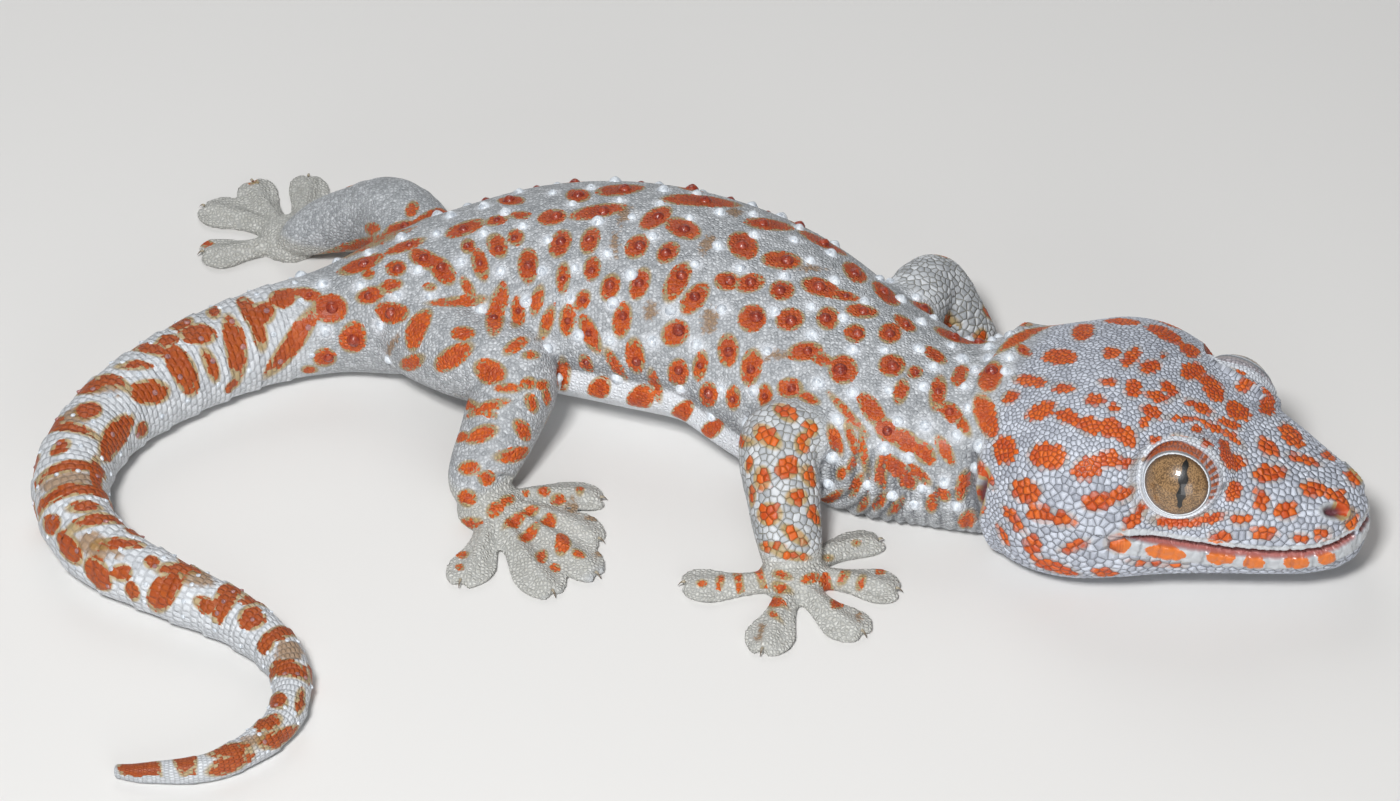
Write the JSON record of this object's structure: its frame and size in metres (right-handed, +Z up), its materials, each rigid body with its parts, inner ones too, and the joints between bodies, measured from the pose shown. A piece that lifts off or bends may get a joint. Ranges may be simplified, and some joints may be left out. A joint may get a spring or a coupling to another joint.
{
  "type": "tokay gecko",
  "caption": "Life-size tokay gecko lying flat with a curled tail, head turned, toes spread on broad pads, tubercles on back and tail.",
  "frame": {"origin": "on the floor under the middle of the whole animal's bounding box", "axes": "+X towards the snout's side, +Y to the animal's left, +Z up"},
  "size_m": [0.1685, 0.1164, 0.0231],
  "materials": {
    "skin": "soft scaly skin, pale blue-grey with orange-red spots",
    "iris": "wet gloss"
  },
  "bodies": {
    "root": {"torso": "skin", "neck": "skin", "head": "skin", "tail_1": "skin", "tail_2": "skin", "tail_3": "skin", "tail_4": "skin", "front_right_upper_arm": "skin", "front_right_forearm": "skin", "front_right_hand": "skin", "hind_right_thigh": "skin", "hind_right_shank": "skin", "hind_right_foot": "skin", "front_left_upper_arm": "skin", "front_left_forearm": "skin", "front_left_hand": "skin", "hind_left_thigh": "skin", "hind_left_shank": "skin", "hind_left_foot": "skin", "eye_right": "iris", "eye_left": "iris"}
  },
  "joints": []
}
